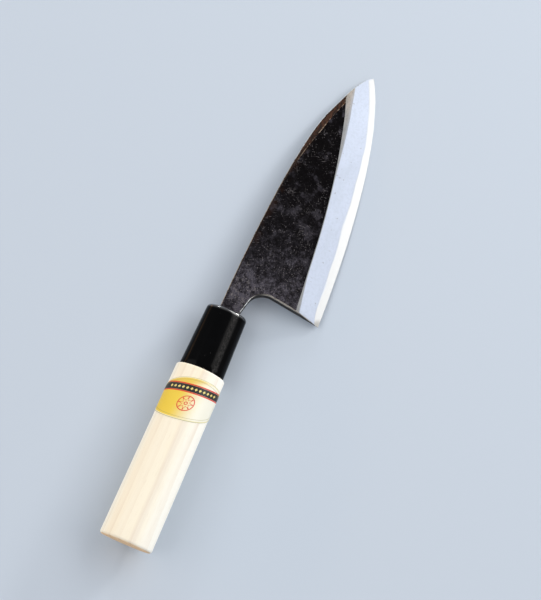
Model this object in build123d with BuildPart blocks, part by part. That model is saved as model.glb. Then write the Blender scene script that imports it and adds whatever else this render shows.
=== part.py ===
from build123d import *
import math
import os

# Lengths are in millimetres. The knife is drawn in its own frame, with the origin where the
# handle's axis meets the front of the ferrule, X towards the tip, Y towards the spine and Z
# towards the bevelled face. At the end the finished pieces are laid down as the knife rests.

# Blade outline, seen on the bevelled face
heel_reach = 13.4
blade_run = 148.1
spine_rise = 4.6
tip_drop = 21.7
heel_drop = 45.3
heel_lean = 4.8
choil_drop = 9.6
choil_radius = 4.6
neck_drop = 5.2

# Blade thickness and grind
spine_thickness = 6.0
bevel_width = 13.8
flat_fall_share = 0.07
steel_thickness = 1.55
scarf_start = 8.0
hollow_depth = 0.4
hollow_rim = 2.6

# Tang, from its shoulder inside the ferrule to its end in the wood
tang_length = 78.0
tang_height = 7.6
tang_end_height = 4.4
tang_thickness = 4.8
tang_end_thickness = 2.6
tang_clearance = 0.15

# Ferrule
ferrule_length = 33.0
ferrule_front_width = 21.3
ferrule_wall = 2.6
ferrule_front_wall = 3.0
ferrule_shoulder = 2.2

# Wooden handle
wood_length = 87.8
wood_front_width = 25.5
wood_front_height = 19.2
wood_rear_width = 26.1
oval_end_share = 0.78
wood_step = 1.2
wood_front_bevel = 0.9
wood_rear_round = 1.4
tenon_clearance = 0.1

# Paper label round the upper side of the wood, its turn in degrees
label_centre = 16.6
label_length = 22.4
label_wrap_drop = 4.0
label_focus_drop = 12.0
label_thickness = 0.2
label_turn = 7.0

# Room given to the far end of a cut, and to the bevel under the back
cut_over = 5.0
bevel_run_on = 1.0

# Ends of the edge's straight run, which lies on the table, as shares of the edge line's length
straight_shares = (0.757, 0.848)

tip_reach = heel_reach + blade_run
back_z = -spine_thickness / 2
neck_seat = ferrule_front_wall
heel_x_per_y = heel_lean / (heel_drop - choil_drop)

# Spine: share of its run from the ferrule to the tip, share of its fall
spine_shares = ((0.35, 0.055), (0.62, 0.19), (0.80, 0.405), (0.87, 0.56), (0.935, 0.715))

# Stations along the blade: share of the run from heel to tip, share of the edge's rise from
# heel to tip, share of the bevel's width at the heel, share of the thickness at the neck
station_shares = (
    (-0.15, -0.01, 0.94, 1.0),
    (0.0, 0.0, 1.0, 0.975),
    (0.15, 0.03, 1.08, 0.93),
    (0.30, 0.08, 1.13, 0.88),
    (0.45, 0.165, 1.18, 0.82),
    (0.60, 0.285, 1.24, 0.745),
    (0.75, 0.46, 1.29, 0.655),
    (0.88, 0.675, 1.29, 0.56),
    (1.0, 0.985, 1.22, 0.465),
    (1.08, 1.24, 1.15, 0.40),
)

# Weld line between iron and steel: share of the run, share of the steel's thickness
weld_shares = (
    (0.015, 0.75),
    (0.126, 0.92),
    (0.22, 1.0),
    (0.29, 0.87),
    (0.37, 0.98),
    (0.45, 0.76),
    (0.56, 0.58),
    (0.66, 0.56),
    (0.79, 0.45),
    (0.89, 0.335),
    (0.975, 0.27),
    (1.08, 0.22),
)

# Hollow of the back: share of the run, share of the edge's rise, share of the spine's fall,
# share of the depth
hollow_shares = (
    (0.07, 0.01, 0.01, 0.06),
    (0.18, 0.035, 0.03, 0.75),
    (0.38, 0.125, 0.08, 1.0),
    (0.58, 0.275, 0.19, 0.95),
    (0.76, 0.48, 0.38, 0.7),
    (0.88, 0.68, 0.61, 0.35),
    (0.94, 0.81, 0.76, 0.08),
)


def run_at(share):
    """X at a share of the run from the heel to the tip."""
    return heel_reach + blade_run * share


def edge_at(rise_share):
    """Y of the cutting edge at a share of its rise from the heel to the tip."""
    return -heel_drop + (heel_drop - tip_drop) * rise_share


def spine_at(fall_share):
    """Y of the spine at a share of its fall from the neck to the tip."""
    return spine_rise - (spine_rise + tip_drop) * fall_share


# Line of the cutting edge on the back face, and its straight run
edge_line = Spline(*[(run_at(share), edge_at(rise), back_z) for share, rise, _, _ in station_shares])
straight_start, straight_end = [edge_line @ share for share in straight_shares]

# Form of the blade: flat upper face and one bevel, carried on past the edge and under the back
far_side = spine_rise + cut_over
with BuildPart() as blade_form:
    for run_share, rise_share, width_share, thick_share in station_shares:
        edge = edge_at(rise_share)
        ridge = edge + bevel_width * width_share
        top = back_z + spine_thickness * thick_share
        ridge_top = top - spine_thickness * thick_share * flat_fall_share
        below = edge - bevel_run_on * (ridge - edge) / (ridge_top - back_z)
        with BuildSketch(Plane.YZ.offset(run_at(run_share))):
            with BuildLine():
                Polyline(
                    (below, back_z - bevel_run_on),
                    (far_side, back_z - bevel_run_on),
                    (far_side, top),
                    (ridge, ridge_top),
                    close=True,
                )
            make_face()
    loft()

# Outline of the blade and neck, standing on the flat back and open past the cutting edge
below_edge = -heel_drop - cut_over
with BuildPart() as blade_outline:
    with BuildSketch(Plane.XY.offset(back_z)) as outline:
        with BuildLine():
            spine = [(tip_reach * run_share, spine_at(fall_share)) for run_share, fall_share in spine_shares]
            Line((-neck_seat, spine_rise), (0, spine_rise))
            Spline((0, spine_rise), *spine, (tip_reach, -tip_drop), tangents=[(1, 0), (1, -1.2)])
            Polyline(
                (tip_reach, -tip_drop),
                (tip_reach, below_edge),
                (heel_reach - cut_over * heel_x_per_y, below_edge),
                (heel_reach + heel_lean, -choil_drop),
                (0, -neck_drop),
                (-neck_seat, -neck_drop),
                (-neck_seat, spine_rise),
            )
        make_face()
        choil = outline.vertices().sort_by_distance((heel_reach + heel_lean, -choil_drop))[0]
        fillet(choil, choil_radius)
    extrude(amount=spine_thickness + cut_over)
    with BuildSketch(Plane.XY.offset(back_z)):
        with BuildLine():
            Polyline(
                (straight_start.X, straight_start.Y),
                (straight_end.X, straight_end.Y),
                (straight_end.X, below_edge),
                (straight_start.X, below_edge),
                close=True,
            )
        make_face()
    extrude(amount=spine_thickness + cut_over, mode=Mode.SUBTRACT)

# Hollow ground into the back, its edges a rim's width inside the blade's outline
with BuildPart() as back_hollow:
    for run_share, rise_share, fall_share, depth_share in hollow_shares:
        low = edge_at(rise_share) + hollow_rim
        high = spine_at(fall_share) - hollow_rim
        crown = (low + high) / 2, back_z + hollow_depth * depth_share
        with BuildSketch(Plane.YZ.offset(run_at(run_share))):
            with BuildLine():
                ThreePointArc((low, back_z), crown, (high, back_z))
                Polyline((high, back_z), (high, back_z - cut_over), (low, back_z - cut_over), (low, back_z))
            make_face()
    loft()

# Blade as forged and ground, both layers together
with BuildPart() as blade_blank:
    add(blade_form.part)
    add(blade_outline.part, mode=Mode.INTERSECT)
    add(back_hollow.part, mode=Mode.SUBTRACT)


# Tang, driven into the wood behind the neck, and the room it takes with its clearance
neck_middle = (spine_rise - neck_drop) / 2
tang_end = -neck_seat - tang_length
with BuildPart() as tang:
    with BuildSketch(Plane.YZ.offset(-neck_seat)):
        with Locations((neck_middle, 0)):
            Rectangle(tang_height, tang_thickness)
    with BuildSketch(Plane.YZ.offset(tang_end)):
        with Locations((neck_middle, 0)):
            Rectangle(tang_end_height, tang_end_thickness)
    loft()

with BuildPart() as tang_room:
    with BuildSketch(Plane.YZ.offset(-neck_seat)):
        with Locations((neck_middle, 0)):
            Rectangle(tang_height + 2 * tang_clearance, tang_thickness + 2 * tang_clearance)
    with BuildSketch(Plane.YZ.offset(tang_end - tang_clearance)):
        with Locations((neck_middle, 0)):
            Rectangle(tang_end_height + 2 * tang_clearance, tang_end_thickness + 2 * tang_clearance)
    loft()

# The steel's side of the weld, from its scarf at the neck to past the tip
weld_end = run_at(weld_shares[-1][0])
with BuildPart() as steel_side:
    with BuildSketch(Plane.XZ.offset(-far_side)):
        with BuildLine():
            crests = [(run_at(share), back_z + steel_thickness * height) for share, height in weld_shares]
            Spline((scarf_start, back_z), *crests)
            Polyline(
                crests[-1],
                (weld_end, back_z - cut_over),
                (scarf_start, back_z - cut_over),
                (scarf_start, back_z),
            )
        make_face()
    extrude(amount=far_side - below_edge)

# Hard steel over the back of the blade, showing as a wavy band along the edge
with BuildPart() as blade_steel:
    add(blade_blank.part)
    add(steel_side.part, mode=Mode.INTERSECT)
blade_steel.part.label = "blade_steel"

# Soft iron that carries it, with the neck and the tang
with BuildPart() as blade_iron:
    add(blade_blank.part)
    add(steel_side.part, mode=Mode.SUBTRACT)
    add(tang.part)
blade_iron.part.label = "blade_iron"


def oval(width, height):
    """Oval section of the handle: two round ends joined by two flatter arcs, its width along Y."""
    half_width = width / 2
    half_height = height / 2
    end = half_height * oval_end_share
    end_y = half_width - end
    side = side_radius(half_width, half_height)
    # Both arcs meet on the line through their two centres
    reach = math.hypot(end_y, side - half_height)
    join = (end_y * side / reach, half_height - side + (side - half_height) * side / reach)
    with BuildLine() as line:
        ThreePointArc((-join[0], join[1]), (0, half_height), join)
        ThreePointArc(join, (half_width, 0), (join[0], -join[1]))
        ThreePointArc((join[0], -join[1]), (0, -half_height), (-join[0], -join[1]))
        ThreePointArc((-join[0], -join[1]), (-half_width, 0), (-join[0], join[1]))
    return make_face(line.edges())


def side_radius(half_width, half_height):
    """Radius of the oval's flatter arcs."""
    end = half_height * oval_end_share
    end_y = half_width - end
    return (end_y**2 + half_height**2 - end**2) / (2 * (half_height - end))


# Ferrule: a moulded cap with a slot for the neck and a bore for the wood's tenon
ferrule_growth = (wood_front_width - ferrule_front_width) / 2 - wood_step
ferrule_front_height = wood_front_height - 2 * (wood_step + ferrule_growth)
tenon_width = ferrule_front_width - 2 * ferrule_wall
tenon_height = ferrule_front_height - 2 * ferrule_wall
with BuildPart() as ferrule:
    with BuildSketch(Plane.YZ):
        oval(ferrule_front_width, ferrule_front_height)
    ferrule_taper = math.degrees(math.atan(ferrule_growth / ferrule_length))
    extrude(amount=-ferrule_length, taper=-ferrule_taper)
    fillet(ferrule.faces().sort_by(Axis.X)[-1].edges(), ferrule_shoulder)
    with BuildSketch(Plane.YZ.offset(-ferrule_length)):
        oval(tenon_width, tenon_height)
    extrude(amount=ferrule_length - ferrule_front_wall, mode=Mode.SUBTRACT)
    with BuildSketch(Plane.YZ):
        with Locations((neck_middle, 0)):
            Rectangle(spine_rise + neck_drop + 2 * tang_clearance, spine_thickness + 2 * tang_clearance)
    extrude(amount=-ferrule_length, mode=Mode.SUBTRACT)
ferrule.part.label = "ferrule"

# Wood, first as a plain tapered oval, then with its bevelled front rim and rounded rear rim,
# its tenon and its tang hole
wood_rear = -ferrule_length - wood_length
wood_taper = math.degrees(math.atan((wood_rear_width - wood_front_width) / 2 / wood_length))
with BuildPart() as wood_blank:
    with BuildSketch(Plane.YZ.offset(-ferrule_length)):
        oval(wood_front_width, wood_front_height)
    extrude(amount=-wood_length, taper=-wood_taper)

with BuildPart() as handle:
    add(wood_blank.part)
    chamfer(handle.faces().sort_by(Axis.X)[-1].edges(), wood_front_bevel)
    fillet(handle.faces().sort_by(Axis.X)[0].edges(), wood_rear_round)
    with BuildSketch(Plane.YZ.offset(-ferrule_length)):
        oval(tenon_width - 2 * tenon_clearance, tenon_height - 2 * tenon_clearance)
    extrude(amount=ferrule_length - ferrule_front_wall - tenon_clearance)
    add(tang_room.part, mode=Mode.SUBTRACT)
handle.part.label = "handle"

# Label: a paper-thin oval shell, cut by a cone of oval section with its point under the axis,
# and ended halfway between its lowest point and the wood's underside
label_x = -ferrule_length - label_centre
label_top = wood_front_height / 2
slack_share = 1.3
side_share = math.sqrt(1 - (2 * label_wrap_drop / wood_front_height) ** 2)
half_length_rate = label_length / 2 / (label_top + label_focus_drop)
half_wrap_rate = wood_front_width / 2 * side_share / (label_focus_drop - label_wrap_drop)
with BuildPart() as label_cone:
    for height in (-(label_wrap_drop + label_focus_drop) / 2, label_top * slack_share):
        reach = height + label_focus_drop
        with BuildSketch(Plane.XY.offset(height)):
            with Locations((label_x, 0)):
                Ellipse(half_length_rate * reach, half_wrap_rate * reach, rotation=label_turn)
    loft()

with BuildPart() as label:
    with BuildSketch(Plane.YZ.offset(-ferrule_length)):
        oval(wood_front_width + 2 * label_thickness, wood_front_height + 2 * label_thickness)
    extrude(amount=-wood_length, taper=-wood_taper)
    add(wood_blank.part, mode=Mode.SUBTRACT)
    add(label_cone.part, mode=Mode.INTERSECT)
    split(bisect_by=Plane.XY.offset(-(label_wrap_drop + label_top) / 2), keep=Keep.TOP)
label.part.label = "label"

# The knife lies on the underside of the wood's front rim and on the edge's straight run, so the
# table holds that run and the back face leans off it towards the handle
touch = straight_start
along = (straight_end - straight_start).normalized()
rim_x = -ferrule_length - wood_front_bevel
rim_reach = -along.X * touch.Y - along.Y * (rim_x - touch.X)
rim_radius = side_radius(wood_front_width / 2, wood_front_height / 2)
rim_centre = rim_radius - wood_front_height / 2
# The lean solves back_z - lean * reach = centre - radius * sqrt(1 + (lean * along.X) ** 2)
drop = rim_centre - back_z
reach_square = rim_reach**2 - (rim_radius * along.X) ** 2
root = math.sqrt((drop * rim_reach) ** 2 + reach_square * (rim_radius**2 - drop**2))
lean = (root - drop * rim_reach) / reach_square
table = Plane(
    origin=(touch.X, touch.Y, back_z),
    x_dir=(1, 0, lean * along.Y),
    z_dir=(-lean * along.Y, lean * along.X, 1),
)
lay_down = table.location.inverse()

pieces = [blade_iron, blade_steel, ferrule, handle, label]
laid = Compound(children=[piece.part.moved(lay_down) for piece in pieces]).bounding_box()
centre = Location((-laid.center().X, -laid.center().Y, 0)) * lay_down
os.makedirs("parts", exist_ok=True)
for piece in pieces:
    name = piece.part.label
    piece.part = piece.part.moved(centre)
    piece.part.label = name
    export_step(piece.part, f"parts/{name}.step")
print("laid box", laid.min, laid.max)
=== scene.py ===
"""Deba knife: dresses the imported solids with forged, ground, turned and printed finishes."""

import math

import bmesh
import bpy
import numpy as np
from bpy.props import FloatProperty, FloatVectorProperty, IntProperty, PointerProperty
from mathutils import Matrix, Vector


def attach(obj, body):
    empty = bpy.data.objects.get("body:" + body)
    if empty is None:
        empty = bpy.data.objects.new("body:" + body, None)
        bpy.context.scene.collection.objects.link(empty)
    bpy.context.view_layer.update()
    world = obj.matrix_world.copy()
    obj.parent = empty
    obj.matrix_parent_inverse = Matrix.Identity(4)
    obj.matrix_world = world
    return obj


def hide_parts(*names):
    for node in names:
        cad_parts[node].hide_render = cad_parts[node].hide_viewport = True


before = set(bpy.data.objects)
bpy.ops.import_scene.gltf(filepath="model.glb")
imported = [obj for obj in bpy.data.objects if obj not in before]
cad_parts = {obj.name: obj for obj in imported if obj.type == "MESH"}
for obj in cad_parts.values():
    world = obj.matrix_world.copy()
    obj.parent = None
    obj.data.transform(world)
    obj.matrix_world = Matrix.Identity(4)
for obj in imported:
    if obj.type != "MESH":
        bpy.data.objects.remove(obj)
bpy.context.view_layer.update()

bl_info = {
    "name": "Deba knife",
    "version": (1, 0, 0),
    "blender": (4, 5, 0),
    "location": "3D Viewport > Sidebar > Deba",
    "description": "Single-bevel kitchen knife with a forged blade, black ferrule and oval wooden handle",
    "category": "Object",
}

# The knife's own frame, in which every piece is drawn: millimetres, X to the tip, Y to the spine and
# Z out of the bevelled face, from where the handle's axis meets the front of the ferrule. It lies in
# the row frame at this place and along these directions.
KNIFE_ORIGIN = np.array((-0.020205, 0.015993, 0.008797))
KNIFE_AXES = np.array(
    (
        (0.999707, 0.001943, -0.024123),
        (0.0, 0.996773, 0.080267),
        (0.024201, -0.080244, 0.996481),
    )
)
MM = 0.001

# Blade outline and grind. The flat falls by a share of the thickness from the far side to the ridge,
# and the steel ends at the neck in a scarf.
HEEL_X = 13.4
RUN = 148.1
TIP = (161.5, -21.7)
TIP_SLOPE = -1.2
HEEL_Y = -45.3
SPINE_Y = 4.6
CHOIL_CORNER = (18.2, -9.6)
CHOIL_RADIUS = 9.2
NECK_Y = -5.2
NECK_MIDDLE = (SPINE_Y + NECK_Y) / 2
NECK_SEAT = 3.0
BACK_Z = -3.0
THICKNESS = 6.0
BEVEL_WIDTH = 13.8
WELD_HEIGHT = 1.55
HOLLOW_RIM = 2.6
HOLLOW_DEPTH = 0.4
FAR_SIDE = 9.6
FLAT_FALL = 0.07
SCARF_X = 8.0
# Shares of the run, with the edge's rise as a share of its whole, and the bevel's width and the
# blade's thickness as shares of theirs
STATIONS = np.array(
    (
        (-0.15, -0.01, 0.94, 1.0),
        (0.0, 0.0, 1.0, 0.975),
        (0.15, 0.03, 1.08, 0.93),
        (0.30, 0.08, 1.13, 0.88),
        (0.45, 0.165, 1.18, 0.82),
        (0.60, 0.285, 1.24, 0.745),
        (0.75, 0.46, 1.29, 0.655),
        (0.88, 0.675, 1.29, 0.56),
        (1.0, 0.985, 1.22, 0.465),
        (1.08, 1.24, 1.15, 0.40),
    )
)
# Shares of the tip's X, with the spine's fall as a share of its whole
SPINE = ((0.35, 0.055), (0.62, 0.19), (0.80, 0.405), (0.87, 0.56), (0.935, 0.715))
# Shares of the run, with the weld's height as a share of its own
WELD = (
    ((0.015, 0.75), (0.126, 0.97), (0.22, 0.99), (0.29, 0.94), (0.37, 1.06), (0.45, 0.86))
    + ((0.50, 0.78), (0.56, 0.76), (0.61, 0.65), (0.66, 0.60), (0.72, 0.50), (0.79, 0.50))
    + ((0.84, 0.455), (0.89, 0.445), (0.975, 0.40), (1.08, 0.36))
)
# Shares of the run, with the hollow's lower and upper border as shares of the edge's rise and the
# spine's fall, and its depth as a share of its own
HOLLOW = (
    (0.07, 0.01, 0.01, 0.06),
    (0.18, 0.035, 0.03, 0.75),
    (0.38, 0.125, 0.08, 1.0),
    (0.58, 0.275, 0.19, 0.95),
    (0.76, 0.48, 0.38, 0.7),
    (0.88, 0.68, 0.61, 0.35),
    (0.94, 0.81, 0.76, 0.08),
)
# Along the blade: width and depth of the facet ground along the spine, and width of the grey strip
# under the ridge, which is widest at the heel and towards the tip
SPINE_FACET = (
    ((-3, 0.5, 0.3), (78, 0.7, 0.3), (88, 1.3, 0.4), (98, 2.0, 0.6), (108, 2.9, 0.85), (117, 3.8, 0.95))
    + ((128, 3.6, 0.95), (137, 3.2, 0.9), (141, 2.9, 0.5), (143.5, 2.5, 0.15), (146, 2.0, 0.0))
)
GREY_STRIP = (
    ((13, 2.1), (18, 1.9), (26, 1.1), (34, 0.55), (40, 0.45), (90, 0.45), (100, 0.9), (109, 1.6))
    + ((124, 2.8), (137, 3.8), (145.5, 4.6), (156, 4.9))
)
# The edge is straight between these two places, on which the knife lies
EDGE_STRAIGHT = (131.6, 147.6)

# Finish of each band of the upper face, from the edge to the spine, and its rows of faces. The neck
# joins the blade from this row on, and the steel under it starts at this column.
BANDS = (("steel", 5), ("bevel", 9), ("grey", 3), ("scale", 9), ("scale", 12), ("facet", 3))
NECK_ROW = sum(count for _, count in BANDS[:4])
SCARF_COLUMN = 7
# The arrises round the back are smaller than those above, and both fade out within this far inside
BACK_ARRIS = 0.6
ARRIS_FADE = 2.0

# Ferrule, wood, tang and label. The tang's ends are given by X, height and thickness. The ferrule's
# rear is rounded by a small radius, and the ring between is this far from both its sides.
FERRULE_LENGTH = 33.0
FERRULE_FRONT = 1.0
FERRULE_SIZE = (21.3, 15.0)
FERRULE_GROW = 1.8
FERRULE_WALL = 2.6
FERRULE_FRONT_WALL = 3.0
REAR_ROUND = (0.25, 0.08)
SLOT_ROOM = 0.3
SLOT_CORNER = 0.3
SLOT_CHAMFER = 0.15
WOOD_LENGTH = 88.8
WOOD_SIZE = (25.5, 19.2)
WOOD_GROW = 0.6
WOOD_REAR = -FERRULE_LENGTH - WOOD_LENGTH
TENON_ROOM = 0.2
NOSE_ROOM = 0.1
HOLE_ROOM = 0.3
HOLE_CORNER = 0.2
OVAL_END = 0.78
AROUND = 160
TANG = ((-3.0, 7.6, 4.8), (-81.0, 4.4, 2.6))
LABEL_X = -49.6
LABEL_HALF = (21.6, 11.2)
LABEL_TURN = math.radians(7.0)
LABEL_THICK = 0.18
LABEL_RINGS = (0.0, 0.08, 0.2, 0.35, 0.5, 0.62, 0.74, 0.84, 0.92, 0.97, 1.0)
LABEL_AROUND = 144
# Along the label: middle of its band and of its rosette, and the step from lozenge to lozenge
LABEL_BAND = 5.3
LABEL_ROSETTE = -2.6
LOZENGE_STEP = 2.1
PETALS = 8.0
# Middle of the wood's growth rings across the handle, and how wide they are
RING_CENTRE = (47.0, -30.0)
RING_WIDTH = 4.4
SMOOTH_ANGLE = math.radians(35.0)

# Camera in the knife's frame, solved from the photograph
CAMERA_AT = (-151.57, -17.01, 480.2)
CAMERA_RIGHT = (0.37209, -0.91894, 0.13075)
CAMERA_AHEAD = (0.32957, -0.00088, -0.94413)

# Lights that face the knife: the setting of their power and their share of it, place, size, tint and
# width of beam
LIGHTS = {
    "window": ("key", 1.0, (0.96, -1.06, 1.28), (2.4, 0.88), (1.0, 0.985, 0.96), math.pi),
    "lamp_edge_side": ("lamp", 1.0, (1.81, -1.17, 0.67), (0.48, 0.35), (1.0, 0.98, 0.95), math.pi / 2),
    "lamp_spine_side": ("lamp", 0.4, (1.81, 1.14, 0.69), (0.35, 0.26), (0.95, 0.98, 1.0), math.pi / 2),
    "pale_wall": ("wall", 1.0, (-0.56, 1.76, 1.76), (2.56, 1.92), (1.0, 0.99, 0.97), math.pi),
    "warm_wall": ("warm", 1.0, (-0.16, 2.08, 0.48), (2.56, 0.16), (1.0, 0.55, 0.25), math.pi),
}
SURROUNDINGS = (0.93, 0.96, 1.0, 1.0)
FLOOR_HALF = 20.0


def colour(name, default, description):
    """A colour property."""
    return FloatVectorProperty(
        name=name, description=description, default=default, subtype="COLOR", size=3, min=0.0, max=1.0
    )


def length(name, default, description):
    """A length property, in metres."""
    return FloatProperty(name=name, description=description, default=default, min=0.0, unit="LENGTH")


def power(name, default, description):
    """A light's power."""
    return FloatProperty(name=name, description=description, default=default, min=0.0, unit="POWER")


class BladeSettings(bpy.types.PropertyGroup):
    arris: length("Arris", 0.00032, "Radius of the rounded arrises round the blade")
    stations: IntProperty(name="Stations", description="Cross sections of the blade", default=150, min=40)
    scale: colour("Forge scale", (0.0012, 0.0008, 0.0010), "Black scale left on the flat")
    worn: colour("Worn scale", (0.165, 0.150, 0.155), "Specks and scratches where the scale is thin")
    cloud: colour("Thin scale", (0.074, 0.068, 0.083), "Greyer scale in clouds and at the neck")
    rust: colour("Rust", (0.070, 0.029, 0.015), "Brown facet along the spine near the tip")
    iron: colour("Ground iron", (0.402, 0.446, 0.538), "Soft iron on the bevel")
    # The grey strip's colour is a painted dark reflection of a facet at another angle.
    grey: colour("Grey strip", (0.225, 0.228, 0.232), "Strip under the ridge, ground less bright")
    steel: colour("Edge steel", (0.500, 0.508, 0.513), "Polished hard steel along the edge")
    bare: colour("Bare arris", (0.42, 0.38, 0.33), "Metal where the scale has worn off the arrises")


class FerruleSettings(bpy.types.PropertyGroup):
    black: colour("Black", (0.0008, 0.0008, 0.0010), "Polished black of the ferrule")
    shoulder: length("Shoulder", 0.0014, "Radius round the ferrule's front")
    polish: FloatProperty(
        name="Polish", description="How rough it is", default=0.11, min=0.0, max=1.0, subtype="FACTOR"
    )


class WoodSettings(bpy.types.PropertyGroup):
    pale: colour("Pale wood", (0.95, 0.865, 0.70), "Sanded wood between the grain lines")
    line: colour("Grain line", (0.75, 0.58, 0.41), "Late wood along the grain")
    end: colour("End grain", (0.95, 0.65, 0.38), "End grain at the butt")
    front_round: length("Front rim", 0.001, "Radius of the rim at the ferrule")
    rear_round: length("Rear rim", 0.0014, "Radius of the rim at the butt")


class LabelSettings(bpy.types.PropertyGroup):
    # Gold and cream are the two ends of a fade across the label that is painted glare.
    gold: colour("Gold", (0.86, 0.60, 0.045), "Yellow of the paper on its fuller side")
    glare_cream: colour("Cream", (0.92, 0.89, 0.76), "Paler side of the paper")
    band: colour("Band", (0.012, 0.010, 0.010), "Dark band across the paper")
    red: colour("Red", (0.72, 0.035, 0.018), "Lines and rosette")


class StageSettings(bpy.types.PropertyGroup):
    floor: colour("Floor", (0.55, 0.61, 0.69), "Plain pale floor")
    lens: FloatProperty(name="Lens", description="Focal length in millimetres", default=60.0, min=1.0)
    key: power("Window", 19.5, "Power of the large light")
    lamp: power("Lamps", 4.0, "Power of the small lights")
    wall: power("Pale wall", 20.0, "Power on the spine's side")
    warm: power("Warm wall", 6.0, "Power beyond the spine")
    fill: FloatProperty(name="Surroundings", description="Their strength", default=0.50, min=0.0)


class Value:
    """A socket in the material being made, with arithmetic that adds Math and Vector Math nodes."""

    def __init__(self, finish, socket):
        self.finish = finish
        self.socket = socket

    def _with(self, kind, *others):
        vector = any(isinstance(v, Value) and v.socket.type == "VECTOR" for v in (self, *others))
        if not vector:
            return self.finish.node("ShaderNodeMath", {"operation": kind}, dict(enumerate(others)))
        spread = [v if isinstance(v, (Value, tuple)) else (v, v, v) for v in others]
        return self.finish.node("ShaderNodeVectorMath", {"operation": kind}, dict(enumerate(spread)))

    def __add__(self, other):
        return self._with("ADD", self, other)

    def __radd__(self, other):
        return self._with("ADD", other, self)

    def __sub__(self, other):
        return self._with("SUBTRACT", self, other)

    def __rsub__(self, other):
        return self._with("SUBTRACT", other, self)

    def __mul__(self, other):
        return self._with("MULTIPLY", self, other)

    def __rmul__(self, other):
        return self._with("MULTIPLY", other, self)

    def __truediv__(self, other):
        return self._with("DIVIDE", self, other)

    def __pow__(self, other):
        return self._with("POWER", self, other)

    def __abs__(self):
        return self._with("ABSOLUTE", self)


class Finish:
    """A procedural material on one Principled shader."""

    def __init__(self, name):
        self.material = bpy.data.materials.new(name)
        self.material.use_nodes = True
        self.tree = self.material.node_tree
        self.shader = self.tree.nodes["Principled BSDF"]

    def node(self, kind, settings=None, inputs=None, output=0):
        """Adds a node, with its settings first and then the values or links of its sockets."""
        made = self.tree.nodes.new(kind)
        for name, setting in (settings or {}).items():
            setattr(made, name, setting)
        for name, value in (inputs or {}).items():
            self.feed(made.inputs[name], value)
        return Value(self, made.outputs[output])

    def feed(self, socket, value):
        """Links a value to a socket, or sets the socket to it."""
        if isinstance(value, Value):
            self.tree.links.new(value.socket, socket)
        elif socket.type == "RGBA" and len(value) == 3:
            socket.default_value = (*value, 1.0)
        else:
            socket.default_value = value

    def mix(self, mask, low, high):
        """A colour between two colours."""
        settings = {"data_type": "RGBA", "clamp_factor": True}
        return self.node("ShaderNodeMix", settings, {0: mask, 6: low, 7: high}, output=2)

    def blend(self, mask, low, high):
        """A number between two numbers."""
        return self.node("ShaderNodeMix", {"data_type": "FLOAT"}, {0: mask, 2: low, 3: high})

    def place(self):
        """Place on the knife in its own frame, in millimetres."""
        return self.node("ShaderNodeAttribute", {"attribute_name": "knife_mm"}, output=1)

    def local(self):
        """Place on the piece's own surface: on the unrolled label, or in the blade's grind."""
        return self.node("ShaderNodeAttribute", {"attribute_name": "local"}, output=1)

    def parts(self, vector):
        """The three numbers of a vector."""
        first = self.node("ShaderNodeSeparateXYZ", inputs={0: vector})
        return [Value(self, output) for output in first.socket.node.outputs]

    def noise(self, at, size, detail=3.0, rough=0.5, stretch=(1.0, 1.0, 1.0)):
        """Noise with features about size millimetres across, longer where stretch is more than one."""
        scaled = at * tuple(1.0 / (size * s) for s in stretch)
        inputs = {"Vector": scaled, "Scale": 1.0, "Detail": detail, "Roughness": rough}
        return self.node("ShaderNodeTexNoise", {"noise_dimensions": "3D"}, inputs)

    def away(self, at, scale):
        """Distance to the nearest of many scattered points, closer together where scale is more."""
        inputs = {"Vector": at, "Scale": scale, "Randomness": 1.0}
        return self.node("ShaderNodeTexVoronoi", {"feature": "F1"}, inputs)

    def step(self, value, low, high):
        """Nought below low, one above high, and smooth between them."""
        inputs = {0: value, 1: low, 2: high, 3: 0.0, 4: 1.0}
        return self.node("ShaderNodeMapRange", {"interpolation_type": "SMOOTHSTEP"}, inputs)

    def near(self, value, centre, half, soft):
        """One where value is within half of centre."""
        return 1.0 - self.step(abs(value - centre), half - soft, half + soft)

    def bump(self, height, depth, strength=1.0):
        """A bump normal from a height of nought to one, depth being its real height in metres."""
        inputs = {"Strength": strength, "Distance": depth, "Height": height}
        return self.node("ShaderNodeBump", inputs=inputs)

    def set(self, **sockets):
        """Feeds the shader's sockets, named with underlines for spaces."""
        for name, value in sockets.items():
            self.feed(self.shader.inputs[name.replace("_", " ")], value)
        return self.material


def times(tint, by):
    """A colour made lighter or darker, by one number or by one for each channel."""
    return tuple(c * b for c, b in zip(tint, by if isinstance(by, tuple) else (by, by, by)))


def through(xs, ys, start=None, end=None):
    """Cubic curve through points, free at its ends unless a slope is given there."""
    xs, ys = np.asarray(xs, float), np.asarray(ys, float)
    count, gap = len(xs), np.diff(xs)
    slope = np.diff(ys) / gap
    rows, right = np.zeros((count, count)), np.zeros(count)
    rows[0, 0] = rows[-1, -1] = 1.0
    for i in range(1, count - 1):
        rows[i, i - 1 : i + 2] = gap[i - 1], 2 * (gap[i - 1] + gap[i]), gap[i]
        right[i] = 6 * (slope[i] - slope[i - 1])
    if start is not None:
        rows[0, :2] = 2 * gap[0], gap[0]
        right[0] = 6 * (slope[0] - start)
    if end is not None:
        rows[-1, -2:] = gap[-1], 2 * gap[-1]
        right[-1] = 6 * (end - slope[-1])
    bend = np.linalg.solve(rows, right)

    def at(x):
        x = np.asarray(x, float)
        i = np.clip(np.searchsorted(xs, x) - 1, 0, count - 2)
        after, before, span = x - xs[i], xs[i + 1] - x, gap[i]
        return (
            (bend[i] * before**3 + bend[i + 1] * after**3) / (6 * span)
            + (ys[i] / span - bend[i] * span / 6) * before
            + (ys[i + 1] / span - bend[i + 1] * span / 6) * after
        )

    return at


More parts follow.
